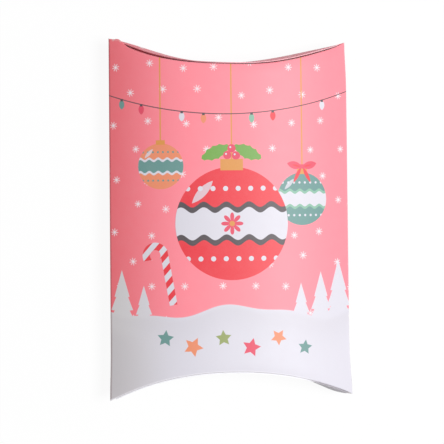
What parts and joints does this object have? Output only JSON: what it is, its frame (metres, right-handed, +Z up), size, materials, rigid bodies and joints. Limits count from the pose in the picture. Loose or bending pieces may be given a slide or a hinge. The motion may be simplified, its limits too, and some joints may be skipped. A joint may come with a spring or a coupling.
{
  "type": "pillow gift box",
  "caption": "Pillow-shaped gift box of folded card with a bowed front and back, curved end creases and an inner and an outer flap at each end.",
  "frame": {"origin": "centre of the flat on the back panel that the box rests on", "axes": "+X across the box to the glued seam side, +Y along the box to the top end, +Z up through the front panel"},
  "size_m": [0.1, 0.15, 0.021],
  "materials": {
    "pink_card": "satin coated print on card",
    "snow_card": "satin coated print on card",
    "bare_card": "uncoated matt card",
    "glue": "dried glue film"
  },
  "bodies": {
    "carton": {"front_panel": "pink_card", "back_panel": "pink_card", "side_fold": "pink_card", "seam_fold": "pink_card", "glue_tab": "bare_card", "glue_strip": "glue", "top_front_crease": "pink_card", "top_back_crease": "pink_card", "bottom_front_crease": "snow_card", "bottom_back_crease": "snow_card"},
    "top_outer_flap": {"top_outer_flap": "pink_card"},
    "top_inner_flap": {"top_inner_flap": "bare_card"},
    "bottom_outer_flap": {"bottom_outer_flap": "snow_card"},
    "bottom_inner_flap": {"bottom_inner_flap": "bare_card"}
  },
  "joints": [
    {"name": "top_outer_flap_hinge", "type": "hinge", "parent": "carton", "child": "top_outer_flap", "pos_m": [0, 0.06624, 0.0017], "axis": [-1, 0, 0], "range_deg": [0, 60]},
    {"name": "top_inner_flap_hinge", "type": "hinge", "parent": "carton", "child": "top_inner_flap", "pos_m": [0, 0.06432, 0.01933], "axis": [-1, 0, 0], "range_deg": [0, 80]},
    {"name": "bottom_outer_flap_hinge", "type": "hinge", "parent": "carton", "child": "bottom_outer_flap", "pos_m": [0, -0.06474, 0.0017], "axis": [1, 0, 0], "range_deg": [0, 60]},
    {"name": "bottom_inner_flap_hinge", "type": "hinge", "parent": "carton", "child": "bottom_inner_flap", "pos_m": [0, -0.06343, 0.01933], "axis": [1, 0, 0], "range_deg": [0, 80]}
  ]
}
